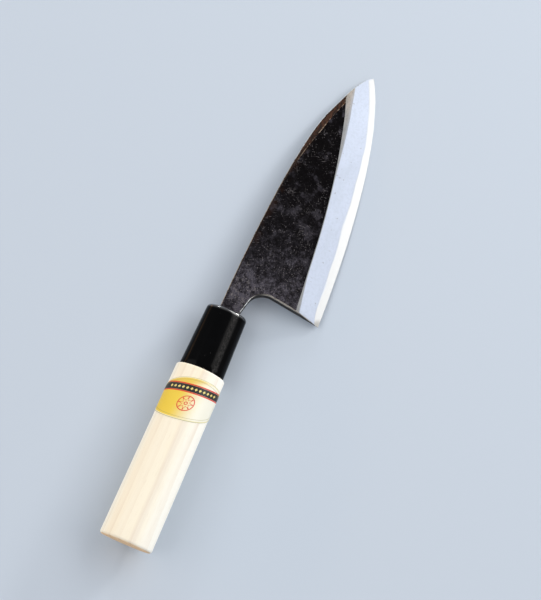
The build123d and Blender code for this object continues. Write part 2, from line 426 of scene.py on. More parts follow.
STATION_X = HEEL_X + RUN * STATIONS[:, 0]
edge_curve = through(STATION_X, HEEL_Y + (TIP[1] - HEEL_Y) * STATIONS[:, 1])
bevel_width = through(STATION_X, BEVEL_WIDTH * STATIONS[:, 2])
thickness = through(STATION_X, THICKNESS * STATIONS[:, 3])
spine_curve = through(
    [0.0, *(TIP[0] * run for run, _ in SPINE), TIP[0]],
    [SPINE_Y, *(SPINE_Y + (TIP[1] - SPINE_Y) * fall for _, fall in SPINE), TIP[1]],
    start=0.0,
    end=TIP_SLOPE,
)
weld_curve = through(
    [SCARF_X, *(HEEL_X + RUN * run for run, _ in WELD)], [0.0, *(WELD_HEIGHT * high for _, high in WELD)]
)


def edge_y(x):
    """Y of the cutting edge."""
    straight = np.interp(x, EDGE_STRAIGHT, edge_curve(EDGE_STRAIGHT), left=-1e3, right=-1e3)
    return np.maximum(edge_curve(x), straight)


def spine_y(x):
    """Y of the spine."""
    return np.where(x < 0, SPINE_Y, spine_curve(np.maximum(x, 0)))


def ridge_y(x):
    """Y of the ridge between the flat and the bevel."""
    return edge_y(x) + bevel_width(x)


def table_at(table, x, column=1):
    """A column of a table of values along the blade, smoothed over three millimetres."""
    table = np.array(table, float)
    steps = (-1.5, -0.75, 0, 0.75, 1.5)
    return np.mean([np.interp(x + step, table[:, 0], table[:, column]) for step in steps], axis=0)


def weld_z(x):
    """Height of the weld between steel and iron."""
    return BACK_Z + np.where(x < SCARF_X, 0.0, np.maximum(weld_curve(np.maximum(x, SCARF_X)), 0.0))


def weld_y(x):
    """Y at which the weld comes out on the bevel."""
    return edge_y(x) + bevel_width(x) * (weld_z(x) - BACK_Z) / (thickness(x) * (1 - FLAT_FALL))


def flat_z(x, y):
    """Height of the blade's flat."""
    thick, ridge = thickness(x), ridge_y(x)
    return BACK_Z + thick * (1 - FLAT_FALL * (FAR_SIDE - y) / (FAR_SIDE - ridge))


def top_z(x, y):
    """Height of the upper face: the flat, the bevel and the facet along the spine."""
    thick, ridge, edge = thickness(x), ridge_y(x), edge_y(x)
    wide, deep = table_at(SPINE_FACET, x), table_at(SPINE_FACET, x, 2)
    from_spine = (spine_y(x) - y) * spine_lean(x)
    facet = flat_z(x, y) - deep * np.clip(1 - from_spine / wide, 0, 1)
    bevel = BACK_Z + thick * (1 - FLAT_FALL) * (y - edge) / (ridge - edge)
    return np.minimum(facet, bevel)


def spine_lean(x):
    """Cosine of the spine's slope."""
    return 1 / np.hypot(1, (spine_y(x + 0.05) - spine_y(x - 0.05)) / 0.1)


def back_z(x, y):
    """Height of the back, with its shallow hollow."""
    table = np.array(HOLLOW)
    xs = HEEL_X + RUN * table[:, 0]
    low = np.interp(x, xs, HEEL_Y + (TIP[1] - HEEL_Y) * table[:, 1]) + HOLLOW_RIM
    high = np.interp(x, xs, SPINE_Y + (TIP[1] - SPINE_Y) * table[:, 2]) - HOLLOW_RIM
    depth = HOLLOW_DEPTH * np.interp(x, xs, table[:, 3], left=0.0, right=0.0)
    across = np.clip((y - low) / (high - low) * 2 - 1, -1, 1)
    return BACK_Z + depth * (1 - across**2)


def to_row(points):
    """Points of the knife's frame in the row frame, in metres."""
    return KNIFE_ORIGIN + np.asarray(points, float) * MM @ KNIFE_AXES


def oval_arcs(width, height):
    """The oval's half height, its end arcs' radius and centre, and its upper arc's radius and half angle."""
    half_y, half_z = width / 2, height / 2
    end = half_z * OVAL_END
    end_y = half_y - end
    side = (end_y**2 + half_z**2 - end**2) / (2 * (half_z - end))
    return half_z, end, end_y, side, math.atan2(end_y, side - half_z)


def arc_point(arcs, run, over=0.0):
    """Y, Z and slope of the oval, run millimetres round from its top and over its surface."""
    half_z, end, end_y, side, turn = arcs
    if run < side * turn:
        angle = run / side
        return (side + over) * math.sin(angle), half_z - side + (side + over) * math.cos(angle), angle
    angle = turn + (run - side * turn) / end
    return end_y + (end + over) * math.sin(angle), (end + over) * math.cos(angle), angle


def oval(width, height, count):
    """Points and outward normals round the handle's oval, from its top, anticlockwise."""
    arcs = oval_arcs(width, height)
    _, end, _, side, turn = arcs
    quarter = side * turn + end * (math.pi / 2 - turn)
    points, normals = [], []
    for run in np.linspace(0, 4 * quarter, count, endpoint=False):
        lap = int(run // quarter)
        part = run - lap * quarter
        y, z, angle = arc_point(arcs, part if lap % 2 == 0 else quarter - part)
        sign_y = -1 if lap < 2 else 1
        sign_z = 1 if lap in (0, 3) else -1
        points.append((sign_y * y, sign_z * z))
        normals.append((sign_y * math.sin(angle), sign_z * math.cos(angle)))
    return np.array(points), np.array(normals)


def tube(x, size, grow=0.0, inset=0.0):
    """A ring of the oval at x, larger by grow and drawn in by inset."""
    points, normals = oval(size[0] + grow, size[1] + grow, AROUND)
    return np.column_stack((np.full(AROUND, x), points - normals * inset))


def rim(outer, x, by, angles):
    """Rings that round a tube into its end at x, by a radius that is negative at a rear end."""
    turns = [math.radians(angle) for angle in angles]
    return [outer(x - by * (1 - math.sin(turn)), abs(by) * (1 - math.cos(turn))) for turn in turns]


def slot_ring(x, wide, high, corner):
    """A ring round the hole of neck or tang, its corners eased and its points in step with a tube's."""
    guide, _ = oval(wide * 1.4, high * 1.4, AROUND)
    rows = []
    for y, z in guide:
        scale = max(abs(y) / (wide / 2 - corner), abs(z) / (high / 2 - corner))
        inner = np.array((y, z)) / scale
        out = np.array((y, z)) / math.hypot(y, z)
        rows.append((x, NECK_MIDDLE + inner[0] + out[0] * corner, inner[1] + out[1] * corner))
    return np.array(rows)


def skin(rings, close=False, caps=False):
    """Points and faces of a skin over rings of equal count, closed on itself or capped at its ends."""
    count, faces = len(rings[0]), []
    for i in range(len(rings) if close else len(rings) - 1):
        a, b = i * count, (i + 1) % len(rings) * count
        for j in range(count):
            k = (j + 1) % count
            faces.append((a + j, a + k, b + k, b + j))
    if caps:
        faces.append(tuple(reversed(range(count))))
        faces.append(tuple(range((len(rings) - 1) * count, len(rings) * count)))
    return np.vstack(rings), faces


def make_piece(name, node, points, faces, materials, which=None, local=None):
    """Makes a piece from points in the knife's frame, stands it for its solid and lets it ride."""
    mesh = bpy.data.meshes.new(name)
    mesh.from_pydata(to_row(points).tolist(), [], [tuple(int(i) for i in face) for face in faces])
    for material in materials:
        mesh.materials.append(material)
    if which is not None:
        mesh.polygons.foreach_set("material_index", np.array(which, np.int32))
    for attribute, rows in (("knife_mm", points), ("local", local)):
        if rows is not None:
            data = mesh.attributes.new(attribute, "FLOAT_VECTOR", "POINT")
            data.data.foreach_set("vector", np.asarray(rows, np.float32).ravel())
    mesh.update()
    piece = bpy.data.objects.new(name, mesh)
    bpy.context.scene.collection.objects.link(piece)
    tidy(mesh)
    mesh.shade_smooth()
    mesh.set_sharp_from_angle(angle=SMOOTH_ANGLE)
    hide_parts(node)
    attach(piece, "root")
    return piece


def tidy(mesh):
    """Merges doubled points, drops faces of no area and turns all faces outward."""
    work = bmesh.new()
    work.from_mesh(mesh)
    bmesh.ops.remove_doubles(work, verts=work.verts, dist=2e-6)
    bmesh.ops.dissolve_degenerate(work, edges=work.edges, dist=1e-6)
    bmesh.ops.delete(work, geom=[vert for vert in work.verts if not vert.link_faces], context="VERTS")
    bmesh.ops.recalc_face_normals(work, faces=work.faces)
    work.to_mesh(mesh)
    work.free()


def heel_corner():
    """Top of the heel's line, the ends of the arc at its corner with the neck, and the arc's centre."""
    heel, corner, neck = (np.array(place) for place in ((HEEL_X, HEEL_Y), CHOIL_CORNER, (0.0, NECK_Y)))
    up = (corner - heel) / np.hypot(*(corner - heel))
    # The line is carried on to the spine, round by round
    reach = 0.0
    for _ in range(20):
        reach = (spine_y(heel[0] + up[0] * reach) - heel[1]) / up[1]
    back = (neck - corner) / np.hypot(*(neck - corner))
    half_angle = math.acos(float(np.dot(-up, back))) / 2
    tangent = CHOIL_RADIUS / math.tan(half_angle)
    centre = corner + (back - up) / np.hypot(*(back - up)) * CHOIL_RADIUS / math.sin(half_angle)
    return heel + up * reach, corner - up * tangent, corner + back * tangent, centre


def blade_rows(stations, heel_top, on_heel):
    """Rows of points from the edge to the spine, from heel to tip, and their shares of the way across."""
    # The stations lie closer towards the tip and lean with the heel's line at the heel
    t = np.linspace(0, 1, stations)
    ease = t + 0.06 * np.sin(math.pi * t * 2) / math.pi
    ease = 1 - (1 - ease) ** 1.15
    low_x = HEEL_X + (TIP[0] - HEEL_X) * ease
    lean = (heel_top[0] - HEEL_X) * np.clip(1 - ease / 0.3, 0, 1) ** 2
    high_x = low_x + lean * (1 - ease)
    low = np.column_stack((low_x, edge_y(low_x)))
    high = np.column_stack((high_x, spine_y(high_x)))
    low[0], high[0] = (HEEL_X, HEEL_Y), heel_top
    low[-1] = high[-1] = TIP

    def cross(curve):
        """Share of the way across at which every station meets a curve, found round by round."""
        share = np.full(stations, 0.5)
        for _ in range(12):
            x = low[:, 0] + share * (high[:, 0] - low[:, 0])
            share = (curve(x) - low[:, 1]) / np.maximum(high[:, 1] - low[:, 1], 1e-6)
        return share

    weld, ridge = cross(weld_y), cross(ridge_y)
    grey = cross(lambda x: ridge_y(x) - table_at(GREY_STRIP, x))
    facet = cross(lambda x: spine_y(x) - table_at(SPINE_FACET, x) / spine_lean(x))
    split = (on_heel[1] - HEEL_Y) / (heel_top[1] - HEEL_Y)
    split = (split - ridge[0]) / (facet[0] - ridge[0])
    facet = np.maximum(facet, ridge)
    middle = ridge + split * (facet - ridge)
    # Where a border has run out at the spine, the bands beyond it end there
    marks = [np.clip(mark, 0, 1) for mark in (0 * weld, weld, grey, ridge, middle, facet, 0 * weld + 1)]
    shares = [marks[0]]
    for before, after, (_, count) in zip(marks, marks[1:], BANDS):
        shares += [before + (after - before) * step / count for step in range(1, count + 1)]
    shares = np.array(shares)
    return low[None] + shares[:, :, None] * (high - low)[None], shares


def neck_rows(heel_top, on_heel, on_neck, centre, shares):
    """Rows of points from the neck's underside and the arc to the spine, from the ferrule to the heel."""
    neck = np.array((0.0, NECK_Y))
    to_heel = math.atan2(*(on_heel - centre)[::-1])
    to_neck = math.atan2(*(on_neck - centre)[::-1])
    turn = (to_heel - to_neck + math.pi) % (2 * math.pi) - math.pi
    scarf = neck + (on_neck - neck) * SCARF_X / on_neck[0]
    under = [np.array((-NECK_SEAT, NECK_Y)), neck]
    under += [neck + (scarf - neck) * part for part in np.linspace(0, 1, SCARF_COLUMN)[1:]]
    under += [scarf + (on_neck - scarf) * part for part in np.linspace(0, 1, 6)[1:-1]]
    angles = to_neck + turn * np.linspace(0, 1, 13)
    under += [centre + CHOIL_RADIUS * np.array((math.cos(angle), math.sin(angle))) for angle in angles]
    under = np.array(under)
    run = np.concatenate(([0], np.cumsum(np.hypot(*np.diff(under, axis=0).T))))
    over_x = under[:, 0].copy()
    past, start = under[:, 0] > SCARF_X, run[SCARF_COLUMN]
    over_x[past] = SCARF_X + (heel_top[0] - SCARF_X) * (run[past] - start) / (run[-1] - start)
    over = np.column_stack((over_x, spine_y(over_x)))
    over[-1] = heel_top
    upper = (shares[NECK_ROW:, 0] - shares[NECK_ROW, 0]) / (1 - shares[NECK_ROW, 0])
    return under[None] + upper[:, None, None] * (over - under)[None]


def blade_grid(stations):
    """The blade's plan as points, faces with their bands, outline, and each point's level in the bands."""
    heel_top, on_heel, on_neck, centre = heel_corner()
    grid, shares = blade_rows(stations, heel_top, on_heel)
    neck_grid = neck_rows(heel_top, on_heel, on_neck, centre, shares)
    rows, columns = grid.shape[:2]
    neck_tall, last = neck_grid.shape[0] - 1, neck_grid.shape[1] - 1
    bands, row_level = [], [0.0]
    for k, (_, count) in enumerate(BANDS):
        bands += [k] * count
        row_level += [k + (step + 1) / count for step in range(count)]
    points, level, index = [], [], {}
    for i in range(rows):
        for j in range(columns):
            # All rows meet in one point at the tip
            if j < columns - 1 or i == 0:
                index["blade", i, j] = len(points)
                points.append(grid[i, j])
                level.append(row_level[i])
            else:
                index["blade", i, j] = index["blade", 0, j]
    for i in range(neck_tall + 1):
        for j in range(last):
            index["neck", i, j] = len(points)
            points.append(neck_grid[i, j])
            level.append(row_level[i + NECK_ROW])
        index["neck", i, last] = index["blade", i + NECK_ROW, 0]
    faces = []
    for part, below, tall, wide, steel_from in (
        ("blade", 0, rows - 1, columns - 1, 0),
        ("neck", NECK_ROW, neck_tall, last, SCARF_COLUMN),
    ):
        for i in range(tall):
            for j in range(wide):
                quad = [index[part, a, b] for a, b in ((i, j), (i, j + 1), (i + 1, j + 1), (i + 1, j))]
                faces.append((list(dict.fromkeys(quad)), bands[i + below], j >= steel_from))
    outline = [index["blade", i, 0] for i in range(NECK_ROW + 1)]
    outline += [index["neck", 0, j] for j in range(last - 1, -1, -1)]
    outline += [index["neck", i, 0] for i in range(1, neck_tall + 1)]
    outline += [index["neck", neck_tall, j] for j in range(1, last + 1)]
    outline += [index["blade", rows - 1, j] for j in range(1, columns)]
    # Round the tip on to the edge
    outline.append(index["blade", 0, columns - 2])
    return np.array(points), faces, outline, np.array(level)


def blade_layer(plan, faces, outline, level, arris, upper):
    """Points, faces, finish of each face and place in the grind of each point, for one layer.

    The upper layer lies between the weld and the upper face, the lower one between the back and the
    weld, or the bevel where that is lower. Both have the same plan, so they meet without a gap.
    """
    weld, top = weld_z(plan[:, 0]), top_z(*plan.T)
    split = np.where(level <= 1, top, np.minimum(weld, top))
    count, edge = len(plan), plan[outline]
    tall = (top - split if upper else split - BACK_Z)[outline]
    ahead, behind = np.roll(edge, -1, axis=0) - edge, edge - np.roll(edge, 1, axis=0)
    tangent = ahead / np.hypot(*ahead.T)[:, None] + behind / np.hypot(*behind.T)[:, None]
    tangent /= np.hypot(*tangent.T)[:, None]
    inward = np.column_stack((tangent[:, 1], -tangent[:, 0]))
    radius = np.minimum(arris if upper else arris * BACK_ARRIS, 0.4 * tall)
    # The plan is drawn in by the arris at its outline, and less and less inside it
    apart = np.hypot(*(plan[:, None] - edge[None]).transpose(2, 0, 1))
    fade = np.clip(1 - apart.min(axis=1) / ARRIS_FADE, 0, 1)[:, None]
    drawn = plan + (inward * radius[:, None])[apart.argmin(axis=1)] * fade * (level > upper)[:, None]
    if upper:
        high = np.where(level <= 1, split, np.maximum(top_z(*drawn.T), split))
        points = [np.column_stack((drawn, high)), np.column_stack((plan, split))]
        start, end = high[outline], top[outline] - radius
        turns = np.radians((30, 60, 90))
        laps = [(1 - math.sin(turn), start + (end - start) * (1 - math.cos(turn))) for turn in turns]
        laps += [(0, end + (split[outline] - end) * part) for part in (0.35, 0.7)]
        kinds = ["arris", "arris", "arris", "wall", "wall", "wall"]
    else:
        points = [np.column_stack((plan, split)), np.column_stack((drawn, back_z(*drawn.T)))]
        start, end = split[outline], BACK_Z + radius
        laps = [(0, start + (end - start) * part) for part in (0.5, 1.0)]
        turns = np.radians((30, 60))
        laps += [(1 - math.cos(turn), BACK_Z + radius * (1 - math.sin(turn))) for turn in turns]
        kinds = ["wall", "wall", "arris", "arris", "arris"]
    numbers = [np.array(outline)]
    for inset, height in laps:
        numbers.append(np.arange(len(outline)) + sum(map(len, points)))
        points.append(np.column_stack((edge + inward * (radius * inset)[:, None], height)))
    numbers.append(np.array(outline) + count)

    out, finish = [], []
    for face, band, steel_here in faces:
        if band > 0 if upper else steel_here:
            out.append(tuple(face))
            finish.append(BANDS[band][0] if upper or band == 0 else "side")
            out.append(tuple(count + i for i in reversed(face)))
            finish.append("side" if upper else "back")
    for a, b, kind in zip(numbers, numbers[1:], kinds):
        for j in range(len(outline) - 1):
            if max(tall[j], tall[j + 1]) > 1e-6:
                out.append((a[j], b[j], b[j + 1], a[j + 1]))
                finish.append("side" if kind == "wall" else kind)
    spine_gap = (spine_y(plan[:, 0]) - plan[:, 1]) * spine_lean(plan[:, 0])
    ground = np.column_stack((spine_gap, level, np.zeros(count)))
    return np.vstack(points), out, finish, np.vstack([ground, ground] + [ground[outline]] * len(laps))


def with_tang(points, faces, finish, ground):
    """Adds the tapered tang behind the neck."""
    corners = ((-1, -1), (1, -1), (1, 1), (-1, 1))
    rings = []
    for x, tall, thick in TANG:
        rings.append(np.array([(x, NECK_MIDDLE + a * tall / 2, b * thick / 2) for a, b in corners]))
    more, sides = skin(rings, caps=True)
    start = len(points)
    faces = faces + [tuple(start + i for i in face) for face in sides]
    ground = np.vstack((ground, np.zeros_like(more)))
    return np.vstack((points, more)), faces, finish + ["side"] * len(sides), ground


def scale_finish(look):
    """Black forge scale, greyer and closer in grain towards the neck, with clouds, specks and scratches."""
    made = Finish("forge_scale")
    at = made.place()
    x, _, _ = made.parts(at)
    spine_gap, level, _ = made.parts(made.local())
    fine = made.noise(at, 0.7, 5.0, 0.72)
    middle = made.noise(at, 2.4, 4.0, 0.65)
    patch = made.noise(at, 7.5, 3.0, 0.5)
    # The scale thins in three steps, from the tip's end to the neck
    thin = 0.04 + 0.13 * (1.0 - made.step(x, 56.0, 92.0))
    thin = thin + 0.56 * (1.0 - made.step(x, 18.0, 56.0)) + 0.24 * (1.0 - made.step(x, 0.0, 28.0))
    uneven = 0.68 + 0.62 * made.step(patch + 0.20 * (middle - 0.5), 0.38, 0.60)
    thin = thin * uneven
    grain = 0.35 + 1.3 * made.step(fine, 0.38, 0.66)
    blotch = 0.52 + 0.96 * made.step(middle, 0.38, 0.62)
    clouds = made.step(patch + 0.30 * (middle - 0.5), 0.53, 0.67)
    paler = 0.52 + 0.30 * thin + 0.45 * made.step(x, 84.0, 106.0)
    shown = thin * grain * blotch + clouds * (0.5 + 0.5 * grain) * paler
    tint = made.mix(0.5 * shown, look.scale, look.cloud)
    # Brown film beside the spine
    film = (1.0 - made.step(spine_gap, 0.5, 5.0)) * made.step(made.noise(at, 5.0, 4.0, 0.6), 0.42, 0.62)
    tint = made.mix(film * made.step(x, 10.0, 40.0) * 0.7, tint, (0.021, 0.0095, 0.0060))
    # Round specks that cluster, most of all at the neck, and a few larger ones
    gather = 0.9 * (made.noise(at, 6.0, 4.0, 0.7) - 0.56) + 0.12 * thin
    for closeness, low, high in ((0.95, 0.06, 0.24), (0.42, 0.0, 0.15)):
        specks = 1.0 - made.step(made.away(at, closeness) - gather, low, high)
        tint = made.mix(specks * (0.15 + 0.75 * made.step(fine, 0.42, 0.60)), tint, look.worn)
    # Scratches slanting across the blade, in groups
    scratches = ((1.15, 0.40, 8.0, 0.64), (-0.35, 0.36, 8.0, 0.655), (1.75, 0.42, 6.0, 0.66))
    for angle, size, run, low in scratches:
        inputs = {"Vector": at, "Angle": angle}
        turned = made.node("ShaderNodeVectorRotate", {"rotation_type": "Z_AXIS"}, inputs)
        lines = made.step(made.noise(turned, size, 2.0, 0.5, (run, 1.0, 1.0)), low, low + 0.06)
        groups = made.step(made.noise(turned, 11.0, 2.0, 0.5), 0.50, 0.62)
        tint = made.mix(lines * groups * 0.7, tint, look.worn)
    # It stays whole and dark in a narrow band above the ridge
    dark = (1.0 - made.step(level, 3.0, 3.3)) * made.step(x, 24.0, 40.0)
    tint = made.mix(dark * 0.6, tint, look.scale)
    height = 0.6 * fine + 0.4 * middle
    return made.set(
        Base_Color=tint,
        Roughness=0.46 + 0.14 * fine,
        Normal=made.bump(height, 0.00009),
        Specular_IOR_Level=0.025,
    )


def facet_finish(look):
    """Brown facet ground along the spine, with a bright inner border, fading into scale at the neck."""
    made = Finish("spine_facet")
    at = made.place()
    x, _, _ = made.parts(at)
    _, level, _ = made.parts(made.local())
    streaks = made.noise(at, 1.1, 4.0, 0.65, (3.5, 1.0, 1.0))
    fine = made.noise(at, 0.6, 4.0, 0.7)
    tint = made.mix(made.step(streaks, 0.36, 0.66), (0.016, 0.0085, 0.0065), look.rust)
    tint = made.mix(made.step(fine, 0.60, 0.76) * 0.4, tint, (0.16, 0.095, 0.065))
    tint = made.mix(made.step(made.noise(at, 2.4, 4.0, 0.65), 0.54, 0.68) * 0.8, tint, look.scale)
    towards_neck = 1.0 - made.step(x, 84.0, 108.0)
    tint = made.mix(towards_neck * (0.5 + 0.5 * made.step(fine, 0.42, 0.58)), tint, (0.014, 0.009, 0.007))
    tint = made.mix(made.step(fine, 0.60, 0.72) * towards_neck * 0.6, tint, (0.13, 0.10, 0.08))
    broken = made.step(made.noise(at, 2.0, 4.0, 0.7), 0.47, 0.56)
    border = (1.0 - made.step(level, 5.05, 5.15)) * made.step(x, 88.0, 100.0) * broken
    tint = made.mix(border * 0.9, tint, (0.34, 0.27, 0.20))
    return made.set(
        Base_Color=tint,
        Roughness=0.40 + 0.2 * fine,
        Metallic=0.1,
        Normal=made.bump(streaks * 0.6 + fine * 0.4, 0.00008),
        Specular_IOR_Level=0.12,
    )


def arris_finish(look):
    """Metal worn bare in a thin broken line along the arrises, painted lighter and bluer near the tip and
    under the neck as a painted reflection.
    """
    made = Finish("worn_arris_and_sheen")
    at = made.place()
    x, y, _ = made.parts(at)
    broken = made.step(made.noise(at, 1.8, 5.0, 0.7), 0.36, 0.52)
    bright = made.step(x, 88.0, 106.0) + (1.0 - made.step(x, 10.0, 14.0)) * (1.0 - made.step(y, -4.0, -2.0))
    tint = made.mix(broken, (0.040, 0.027, 0.020), look.bare)
    # Near the tip and under the neck the bare line is painted lighter and bluer: painted reflection.
    tint = made.mix(bright * broken, tint, times(look.bare, (1.5, 1.75, 2.05)))
    # It is darker in the corner between the neck and the heel
    corner = made.step(x, 12.0, 13.8) * (1.0 - made.step(x, 19.5, 20.5)) * made.near(y, -12.0, 2.8, 1.2)
    tint = made.mix(corner * 0.85, tint, (0.030, 0.022, 0.018))
    return made.set(Base_Color=tint, Metallic=0.3 * broken, Roughness=0.40)


def side_finish(look):
    """Side of the blade: dark scale, kept dark as painted shade, and filed bright at the heel's upper part,
    with the part below left dark, partly scale and partly painted shade.
    """
    made = Finish("blade_side_and_shade")
    at = made.place()
    x, y, z = made.parts(at)
    fine = made.noise(at, 0.8, 4.0, 0.65)
    file_marks = made.noise(at, 0.30, 3.0, 0.6, (1.0, 10.0, 1.0))
    # The heel's upper part is filed bright and lit; below it the side stays dark, partly scale and partly
    # painted shade.
    heel = (1.0 - made.step(x, 19.0, 22.0)) * (1.0 - made.step(y, -14.5, -11.0))
    ragged = z + 1.0 * (made.noise(at, 3.0, 3.0) - 0.5)
    bright = heel * made.step(ragged, 0.6, 1.3)
    # The side's dark colour is scale, kept dark as painted shade.
    dark = made.mix(made.step(fine, 0.5, 0.72), (0.010, 0.008, 0.007), (0.055, 0.044, 0.037))
    pale = made.mix(made.step(file_marks, 0.35, 0.65), (0.46, 0.41, 0.34), (0.62, 0.57, 0.49))
    tint = made.mix(bright, dark, pale)
    return made.set(
        Base_Color=tint,
        Metallic=0.4 * bright,
        Roughness=0.5 - 0.1 * bright,
        Normal=made.bump(0.5 * fine + 0.5 * file_marks, 0.00006),
        Specular_IOR_Level=0.3,
    )


def bevel_finish(look):
    """Satin bevel of soft iron: pale, a little cloudy, with faint lines from the stone."""
    made = Finish("bevel_iron")
    at = made.place()
    x, _, _ = made.parts(at)
    clouds = made.noise(at, 10.0, 4.0, 0.55, (2.2, 1.0, 1.0))
    lines = made.noise(at, 0.30, 3.0, 0.6, (22.0, 1.0, 1.0))
    cross = made.noise(at, 0.40, 2.0, 0.5, (1.0, 12.0, 1.0))
    tint = made.mix(made.step(clouds, 0.32, 0.68), times(look.iron, 0.94), times(look.iron, 1.04))
    tint = made.mix(made.step(x, 95.0, 145.0), tint, times(look.iron, 1.13))
    tint = made.mix(1.0 - made.step(x, 14.0, 70.0), tint, times(look.iron, 1.07))
    tint = made.mix(made.step(lines, 0.52, 0.78) * 0.22, tint, (0.42, 0.45, 0.52))
    tint = made.mix(made.step(cross, 0.62, 0.80) * 0.14, tint, (0.40, 0.42, 0.47))
    # The stone leaves the soft iron finely mottled, with a few small stains
    mottle = made.noise(at, 1.3, 3.0, 0.7)
    tint = made.mix(made.step(mottle, 0.44, 0.64) * 0.28, tint, times(look.iron, 0.80))
    stains = made.step(made.noise(at, 2.4, 2.0, 0.5), 0.69, 0.73)
    tint = made.mix(stains * 0.7, tint, (0.25, 0.25, 0.27))
    rough = 0.40 + 0.10 * clouds + 0.06 * lines
    return made.set(Base_Color=tint, Metallic=0.4, Roughness=rough, Normal=made.bump(lines, 0.000008))


def grey_finish(look):
    """Grey strip under the ridge, left rougher by the grinding wheel, its darker grey a painted dark
    reflection of a facet at another angle, and warmer towards the tip.
    """
    made = Finish("grey_strip_dark_reflection")
    at = made.place()
    x, _, _ = made.parts(at)
    _, level, _ = made.parts(made.local())
    lines = made.noise(at, 0.35, 3.0, 0.6, (10.0, 1.0, 1.0))
    warm = made.step(x, 122.0, 146.0)
    # The strip's grey stands in for a facet that reflects less light: painted dark reflection.
    tint = made.mix(warm, look.grey, times(look.grey, (1.5, 1.32, 1.14)))
    tint = made.mix(made.step(lines, 0.42, 0.72) * 0.4, tint, times(look.grey, 0.6))
    worn = made.step(made.noise(at, 1.4, 3.0, 0.7), 0.46, 0.62)
    tint = made.mix(worn * 0.3, tint, times(look.grey, 0.5))
    # It fades into the bevel
    tint = made.mix((1.0 - made.step(level, 2.0, 2.5)) * 0.45, tint, times(look.iron, 0.85))
    rough = 0.46 + 0.1 * lines
    return made.set(Base_Color=tint, Metallic=0.35, Roughness=rough, Normal=made.bump(lines, 0.00002))


def steel_finish(look):
    """Polished hard steel, hazy along the weld and duller at the heel's corner."""
    made = Finish("edge_steel")
    at = made.place()
    x, y, _ = made.parts(at)
    _, level, _ = made.parts(made.local())
    lines = made.noise(at, 0.22, 3.0, 0.6, (26.0, 1.0, 1.0))
    haze = made.noise(at, 3.0, 3.0, 0.5, (3.0, 1.0, 1.0))
    tint = made.mix(made.step(haze, 0.45, 0.8) * 0.2, look.steel, times(look.steel, 0.92))
    # Carbon drifts into the iron along the weld
    tint = made.mix(made.step(level + 0.5 * (haze - 0.5), 0.86, 1.02) * 0.6, tint, look.iron)
    corner = (1.0 - made.step(x + 0.45 * (y - HEEL_Y), 15.0, 19.0)) * made.step(haze, 0.30, 0.50)
    tint = made.mix(corner * 0.9, tint, (0.335, 0.33, 0.315))
    rough = 0.34 + 0.06 * lines + 0.12 * corner
    return made.set(Base_Color=tint, Metallic=0.5, Roughness=rough, Normal=made.bump(lines, 0.000006))


def back_finish(look):
    """Ground back, its hollow marked across by the wheel and its flat rim brighter."""
    made = Finish("ground_back")
    at = made.place()
    _, _, z = made.parts(at)
    in_hollow = made.step(z, -2.985, -2.93)
    across = made.noise(at, 0.32, 3.0, 0.65, (1.0, 14.0, 1.0))
    along = made.noise(at, 0.25, 3.0, 0.6, (24.0, 1.0, 1.0))
    marks = made.blend(in_hollow, along, across)
    tint = made.mix(in_hollow, (0.70, 0.715, 0.74), (0.50, 0.51, 0.53))
    tint = made.mix(made.step(marks, 0.48, 0.76) * 0.45, tint, (0.30, 0.305, 0.32))
    stain = made.step(made.noise(at, 9.0, 4.0, 0.6), 0.58, 0.72)
    tint = made.mix(stain * 0.25, tint, (0.34, 0.30, 0.26))
    rough = made.blend(in_hollow, 0.26, 0.38) + 0.08 * marks
    return made.set(Base_Color=tint, Metallic=0.7, Roughness=rough, Normal=made.bump(marks, 0.00002))


def ferrule_finish(look):
    """Polished black, with fine hairlines, a few specks of dust and a lighter streak of painted reflection
    along the edge's side.
    """
    made = Finish("ferrule_black_and_sheen")
    at = made.place()
    x, y, _ = made.parts(at)
    hair = made.noise(at, 0.35, 2.0, 0.5, (20.0, 1.0, 1.0))
    cloud = made.noise(at, 7.0, 3.0, 0.55)
    dust = 1.0 - made.step(made.away(at, 0.22), 0.02, 0.045)
    nick = made.step(made.noise(at, 0.5, 2.0, 0.5, (3.0, 1.0, 1.0)), 0.77, 0.80)
    tint = made.mix(made.step(cloud, 0.4, 0.7), look.black, times(look.black, 1.6))
    tint = made.mix((dust + nick) * 0.45, tint, (0.12, 0.11, 0.11))
    # A lighter streak with dust runs along the edge's side, where the polish reflects the window's long
    # light: painted reflection, broken by grit and rougher there.
    dust_and_sheen_streak = made.near(y - 0.035 * x, -4.8, 1.1, 0.7)
    grit = made.step(made.noise(at, 0.7, 3.0, 0.75, (1.8, 1.0, 1.0)), 0.42, 0.62)
    tint = made.mix(dust_and_sheen_streak * grit * 0.65, tint, (0.036, 0.033, 0.033))
    rough = look.polish + 0.05 * made.step(hair, 0.45, 0.8) + 0.03 * cloud
    rough = rough + 0.16 * dust_and_sheen_streak * (1.0 - grit)
    height = 0.3 * hair + 0.7 * cloud
    # The shoulder is polished brightest
    shoulder = made.step(x, -1.2, 0.4)
    return made.set(
        Base_Color=tint,
        Roughness=rough,
        Specular_IOR_Level=0.065,
        Coat_Weight=shoulder,
        Coat_Roughness=0.13,
        Coat_IOR=2.8,
        Normal=made.bump(height, 0.00002, 0.6),
    )


